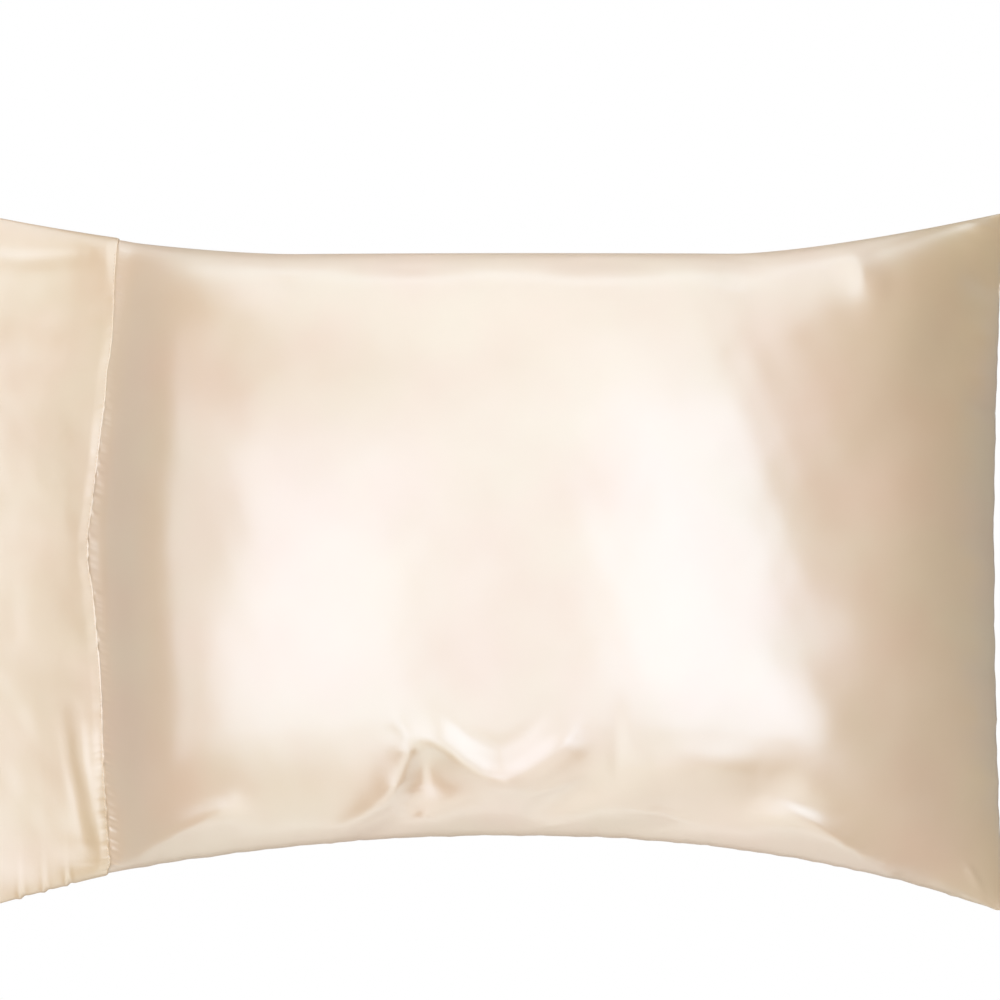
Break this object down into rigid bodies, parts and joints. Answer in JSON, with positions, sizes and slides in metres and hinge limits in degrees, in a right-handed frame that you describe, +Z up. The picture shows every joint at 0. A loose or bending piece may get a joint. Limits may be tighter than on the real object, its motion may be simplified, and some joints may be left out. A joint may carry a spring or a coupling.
{
  "type": "filled satin pillowcase",
  "caption": "Filled satin pillowcase lying on its back, crowned, with drawn-in sides, soft creases and a wide stitched cuff round its open mouth.",
  "frame": {"origin": "middle of the case's outline, on the surface that it lies on", "axes": "+X along the case from its open mouth to its closed end, +Y across it to the far long side, +Z up"},
  "size_m": [0.7692, 0.5167, 0.1638],
  "materials": {
    "case_satin": "champagne satin, broad soft gloss",
    "cuff_satin": "champagne satin, doubled, a little duller"
  },
  "bodies": {
    "root": {"case_body": "case_satin", "cuff_band": "cuff_satin"}
  },
  "joints": []
}
